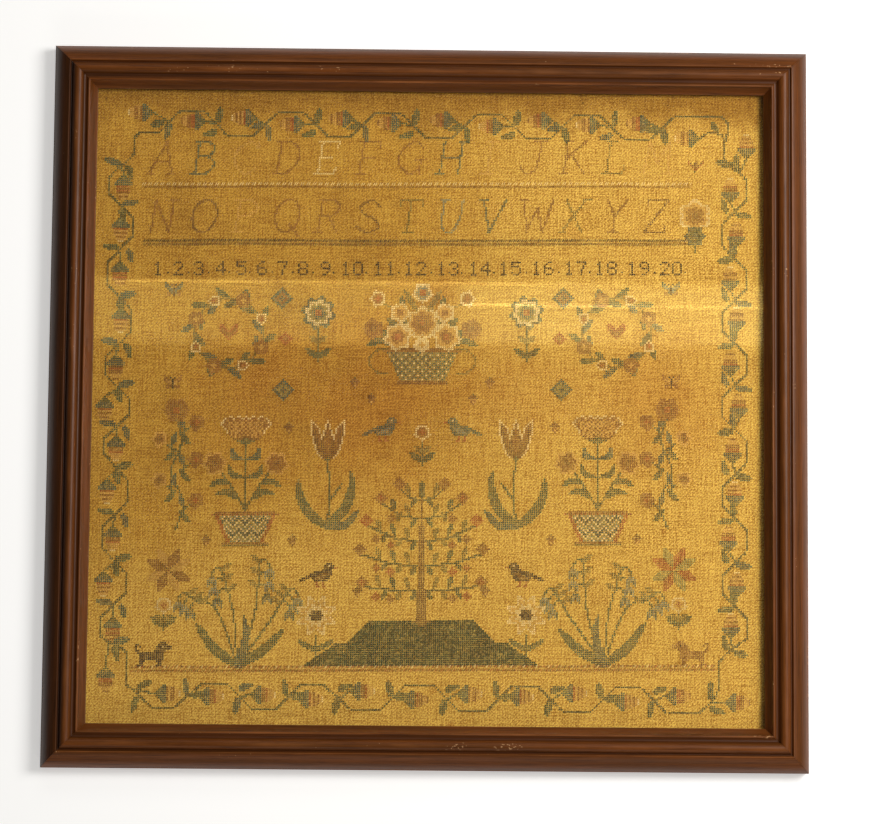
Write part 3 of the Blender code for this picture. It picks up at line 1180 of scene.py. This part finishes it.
def makeMound(chart, middle):
    # green ground with a shoulder on each side
    for j in range(-126, -104):
        rise = (j + 126) / 21
        half = 56 - 14 * min(rise / 0.45, 1) if rise < 0.5 else 36 - 11 * (rise - 0.5) / 0.5
        for i in range(-round(half), round(half) + 1):
            chart[(middle + i, j)] = "o" if (i * 7 + j * j * 3) % 29 == 0 else "m"


def makeFieldChart():
    pairs = {}
    makeWreath(pairs, -98, 36, 17)
    pixels(pairs, -102, 40, heart)
    makeSprig(pairs, -54, 22, "t", 18)
    bloom(pairs, -54, 46, 8, 8, "rdecd", 0.2)
    bloom(pairs, -70, 33, 3, 4, "tr")
    makeDiamond(pairs, -72, 53, 5, "d", "t")
    makeDiamond(pairs, -71, 8, 5, "d", "e")
    pixels(pairs, -129, 61, butterfly)
    pixels(pairs, -129, 15, butterfly, swap={"d": "t", "u": "y"})
    makeTulipPlant(pairs, -49, -60)
    makeCarnationPot(pairs, -89, -68)
    makeBudSpray(pairs, -123, -60)
    makeBellSpray(pairs, -92, -126)
    makeDaisy(pairs, -54, -102)
    stroke(pairs, [(-54, -125), (-54, -112)], "g")
    leaf(pairs, -54, -119, 150, 9, "g", 3.0)
    leaf(pairs, -54, -119, 30, 9, "g", 3.0)
    pixels(pairs, -62, -77, bird, flip=True)
    pixels(pairs, -32, -6, bird, flip=True, swap={"k": "d", "b": "u"})
    for i, j in ((-38, 14), (-70, -8), (-30, 6), (-110, -63), (-68, -63), (-36, -88)):
        pixels(pairs, i, j, acorn)
    makeSprig(pairs, -128, -109, "y", 9)
    chart = mirrored(pairs, field["middle"])
    makeBasket(chart, field["middle"], 27)
    makeSprig(chart, field["middle"], -29, "t", 13)
    makeMound(chart, field["middle"])
    makeFruitTree(chart, field["middle"], -105)
    makeStar(chart, -126, -80, "t", "y")
    makeStar(chart, 120, -80, "r", "e")
    pixels(chart, -141, -115, dog)
    pixels(chart, 118, -115, dog, flip=True, swap={"k": "t", "c": "k"})
    return chart


# Stitches

stitch = {
    "pitch": 1.38 * mm,
    "thread": 0.235 * mm,  # half its width
    "thickThreads": {"k": 1.4, "m": 1.6, "g": 1.25, "d": 1.25, "v": 1.25, "r": 1.15, "b": 1.1, "t": 1.1},
    "dip": -0.12 * mm,  # its ends below the face of the linen
    "lowRise": 0.40 * mm,
    "highRise": 0.90 * mm,
    "stray": 0.045 * mm,
    "seed": 7,
    "squash": 0.92,  # a row's height over its width
    "lean": 0.4,  # how far the columns lean for each rise of the rows
    "wander": 0.5 * mm,  # how far a worked line strays over the cloth
    "mostInPiece": 3400,
    "wornThread": (206, 156, 78),
}


def stitchTree():
    # named inputs: half the stitch's run and rise, the thread's radius, the heights of both legs
    tree = bpy.data.node_groups.new("crossOnPoints", "GeometryNodeTree")
    tree.interface.new_socket("Geometry", in_out="INPUT", socket_type="NodeSocketGeometry")
    names = {}
    for name, kind in (
        ("Half run", "NodeSocketFloat"),
        ("Half rise", "NodeSocketFloat"),
        ("Thread radius", "NodeSocketFloat"),
        ("Dip", "NodeSocketFloat"),
        ("Low rise", "NodeSocketFloat"),
        ("High rise", "NodeSocketFloat"),
        ("Second leg", "NodeSocketBool"),
        ("Stray", "NodeSocketFloat"),
        ("Seed", "NodeSocketInt"),
        ("Thread", "NodeSocketMaterial"),
    ):
        names[name] = tree.interface.new_socket(name, in_out="INPUT", socket_type=kind).identifier
    tree.interface.new_socket("Geometry", in_out="OUTPUT", socket_type="NodeSocketGeometry")
    given = addNode(tree, "NodeGroupInput").outputs
    result = addNode(tree, "NodeGroupOutput")

    def vector(x, y, z):
        node = addNode(tree, "ShaderNodeCombineXYZ")
        for socket, value in zip(node.inputs, (x, y, z)):
            if isinstance(value, (int, float)):
                socket.default_value = value
            else:
                join(tree, value, socket)
        return node.outputs[0]

    def random3(low, high, seedStep):
        node = addNode(tree, "FunctionNodeRandomValue", data_type="FLOAT_VECTOR")
        join(tree, low, node.inputs[0])
        join(tree, high, node.inputs[1])
        join(tree, calc(tree, "ADD", given["Seed"], seedStep), node.inputs["Seed"])
        return node.outputs[0]

    def leg(side, riseName, spans):
        run = calc(tree, "MULTIPLY", given["Half run"], side)
        back = calc(tree, "MULTIPLY", run, -1.0)
        fall = calc(tree, "MULTIPLY", given["Half rise"], -1.0)
        curve = addNode(tree, "GeometryNodeCurveQuadraticBezier")
        curve.inputs["Resolution"].default_value = 6
        spaced = addNode(tree, "GeometryNodeResampleCurve", mode="COUNT")
        spaced.inputs["Count"].default_value = spans + 1
        join(tree, curve.outputs["Curve"], spaced.inputs["Curve"])
        join(tree, vector(back, fall, given["Dip"]), curve.inputs["Start"])
        join(tree, vector(0.0, 0.0, given[riseName]), curve.inputs["Middle"])
        join(tree, vector(run, given["Half rise"], given["Dip"]), curve.inputs["End"])
        ring = addNode(tree, "GeometryNodeCurvePrimitiveCircle")
        ring.inputs["Resolution"].default_value = 3
        join(tree, given["Thread radius"], ring.inputs["Radius"])
        tube = addNode(tree, "GeometryNodeCurveToMesh")
        tube.inputs["Fill Caps"].default_value = True
        join(tree, spaced.outputs["Curve"], tube.inputs["Curve"])
        join(tree, ring.outputs["Curve"], tube.inputs["Profile Curve"])
        return tube.outputs["Mesh"]

    choose = addNode(tree, "GeometryNodeSwitch", input_type="GEOMETRY")
    join(tree, given["Second leg"], choose.inputs["Switch"])
    join(tree, leg(-1.0, "Low rise", 2), choose.inputs["True"])
    both = addNode(tree, "GeometryNodeJoinGeometry")
    join(tree, choose.outputs[0], both.inputs[0])
    join(tree, leg(1.0, "High rise", 3), both.inputs[0])

    less = calc(tree, "MULTIPLY", given["Stray"], -1.0)
    nudge = random3(vector(less, less, 0.0), vector(given["Stray"], given["Stray"], 0.0), 1)
    moved = addNode(tree, "GeometryNodeSetPosition")
    join(tree, given["Geometry"], moved.inputs["Geometry"])
    join(tree, nudge, moved.inputs["Offset"])
    scatter = addNode(tree, "GeometryNodeInstanceOnPoints")
    join(tree, moved.outputs["Geometry"], scatter.inputs["Points"])
    join(tree, both.outputs[0], scatter.inputs["Instance"])
    join(tree, random3(vector(0.0, 0.0, -0.10), vector(0.0, 0.0, 0.10), 2), scatter.inputs["Rotation"])
    join(tree, random3(vector(0.86, 0.86, 0.7), vector(1.12, 1.12, 1.15), 3), scatter.inputs["Scale"])
    tone = addNode(tree, "FunctionNodeRandomValue", data_type="FLOAT")
    join(tree, calc(tree, "ADD", given["Seed"], 4), tone.inputs["Seed"])
    keep = addNode(tree, "GeometryNodeStoreNamedAttribute", data_type="FLOAT", domain="INSTANCE")
    keep.inputs["Name"].default_value = "tone"
    join(tree, scatter.outputs["Instances"], keep.inputs["Geometry"])
    join(tree, tone.outputs[1], keep.inputs["Value"])
    real = addNode(tree, "GeometryNodeRealizeInstances")
    join(tree, keep.outputs["Geometry"], real.inputs["Geometry"])
    paint = addNode(tree, "GeometryNodeSetMaterial")
    join(tree, real.outputs["Geometry"], paint.inputs["Geometry"])
    join(tree, given["Thread"], paint.inputs["Material"])
    join(tree, paint.outputs["Geometry"], result.inputs["Geometry"])
    return tree, names


def threadMaterial(name, colour):
    material, tree, shader = newMaterial(name + "Thread")
    position = addNode(tree, "ShaderNodeTexCoord").outputs["Object"]
    tone = addNode(tree, "ShaderNodeAttribute", attribute_name="tone").outputs["Fac"]
    faded = noiseAt(tree, position, 38.0, detail=4, rough=0.6)
    fibre = noiseAt(tree, position, 5200.0, (1, 1, 1), 2, 0.6)
    base = linear(colour)
    pale = linear([value + (sun - value) * 0.24 for value, sun in zip(colour, (240, 200, 130))])
    dark = linear([value * 0.68 for value in colour])
    shade = blendColours(tree, remap(tree, faded, 0.3, 0.7), dark, pale)
    shade = blendColours(tree, 0.5, shade, base)
    shade = blendColours(tree, remap(tree, tone, 0.2, 1.0, 0.0, 0.8, False), shade, dark)
    worn = remap(tree, tone, 0.0, 0.25, 0.35, 0.0, False)
    shade = blendColours(tree, worn, shade, linear(stitch["wornThread"]))
    shade = blendColours(tree, remap(tree, fibre, 0.35, 0.7, 0.0, 0.3), shade, pale)
    join(tree, shade, shader.inputs["Base Color"])
    shader.inputs["Roughness"].default_value = 0.72
    shader.inputs["Sheen Weight"].default_value = 0.15
    shader.inputs["Specular IOR Level"].default_value = 0.3
    addBump(tree, shader, fibre, 0.5, 0.04 * mm)
    return material


threadMaterials = {key: threadMaterial(*value) for key, value in threads.items()}


def workStitches(pieceName, spots, key, tree, names, secondLeg=True, halfRise=0.345, halfRun=0.315):
    mesh = bpy.data.meshes.new(pieceName)
    mesh.from_pydata(spots, [], [])
    points = bpy.data.objects.new(pieceName + "_points", mesh)
    bpy.context.scene.collection.objects.link(points)
    work = points.modifiers.new("stitches", "NODES")
    work.node_group = tree
    sizes = {
        "Half run": halfRun * stitch["pitch"],
        "Half rise": halfRise * stitch["pitch"] * stitch["squash"],
        "Thread radius": stitch["thread"] * stitch["thickThreads"].get(key, 1.0),
        "Dip": stitch["dip"],
        "Low rise": stitch["lowRise"],
        "High rise": stitch["highRise"],
        "Second leg": secondLeg,
        "Stray": stitch["stray"],
        "Seed": stitch["seed"],
        "Thread": threadMaterials[key],
    }
    for name, value in sizes.items():
        work[names[name]] = value
    bpy.context.view_layer.update()
    graph = bpy.context.evaluated_depsgraph_get()
    made = bpy.data.meshes.new_from_object(points.evaluated_get(graph))
    bpy.data.objects.remove(points, do_unlink=True)
    made.name = pieceName
    made.shade_smooth()
    piece = bpy.data.objects.new(pieceName, made)
    bpy.context.scene.collection.objects.link(piece)
    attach(piece, "root")
    return sum(len(face.vertices) - 2 for face in made.polygons)


def clothSpot(i, j, turn):
    # where a cross lies on the linen; the rows lift a little towards the right
    x = stitch["pitch"] * (i - turn * stitch["lean"] * j)
    y = stitch["pitch"] * (j + turn * i)
    x += stitch["wander"] * noise.noise(Vector((x * 14, y * 14, 2.0)))
    y += stitch["wander"] * noise.noise(Vector((x * 14, y * 14, 7.0)))
    return (x, y, linenHeight(x, y))


def makeStitches():
    tree, names = stitchTree()
    total = 0
    most = stitch["mostInPiece"]
    works = {
        "border": (makeBorderChart(), 0.0),
        "letter": (makeLetterChart(), field["turn"]),
        "field": (makeFieldChart(), field["turn"]),
    }
    for workName, (chart, turn) in works.items():
        for key, (threadName, _) in threads.items():
            spots = [clothSpot(i, j, turn) for (i, j), thread in sorted(chart.items()) if thread == key]
            for number, part in enumerate(range(0, len(spots), most)):
                pieceName = f"{workName}_{threadName}_{number + 1}"
                total += workStitches(pieceName, spots[part : part + most], key, tree, names)
        print(workName, "crosses", len(chart), "triangles so far", total)

    turn = field["turn"]
    bands = {
        # threads in turn, row, ends, half the height of a stitch in rows
        "upper_band": ("cc.", 110, (-141, 130), 0.75),
        "upper_band_foot": ("tbt", 108.5, (-141, 130), 0.5),
        "lower_band": ("ko", 81.8, (-140, 128), 0.75),
        "lower_band_foot": ("bob", 80, (-140, 128), 0.75),
        "ground_band": ("rbyrbc", field["ground"] + 1.2, field["groundEnds"], 0.8),
        "ground_band_foot": ("brt", field["ground"] - 0.6, field["groundEnds"], 0.7),
    }
    for name, (keys, row, (first, last), halfRise) in bands.items():
        for key in sorted(set(keys) - {"."}):
            spots = [clothSpot(i, row, turn) for i in range(first, last) if keys[i % len(keys)] == key]
            pieceName = f"{name}_{threads[key][0]}"
            total += workStitches(pieceName, spots, key, tree, names, False, halfRise, 0.4)
    print("stitches made", total, "triangles")


makeStudio()
makeFrame()
finishGlass()
finishBoard()
makeLinen()
makeStitches()
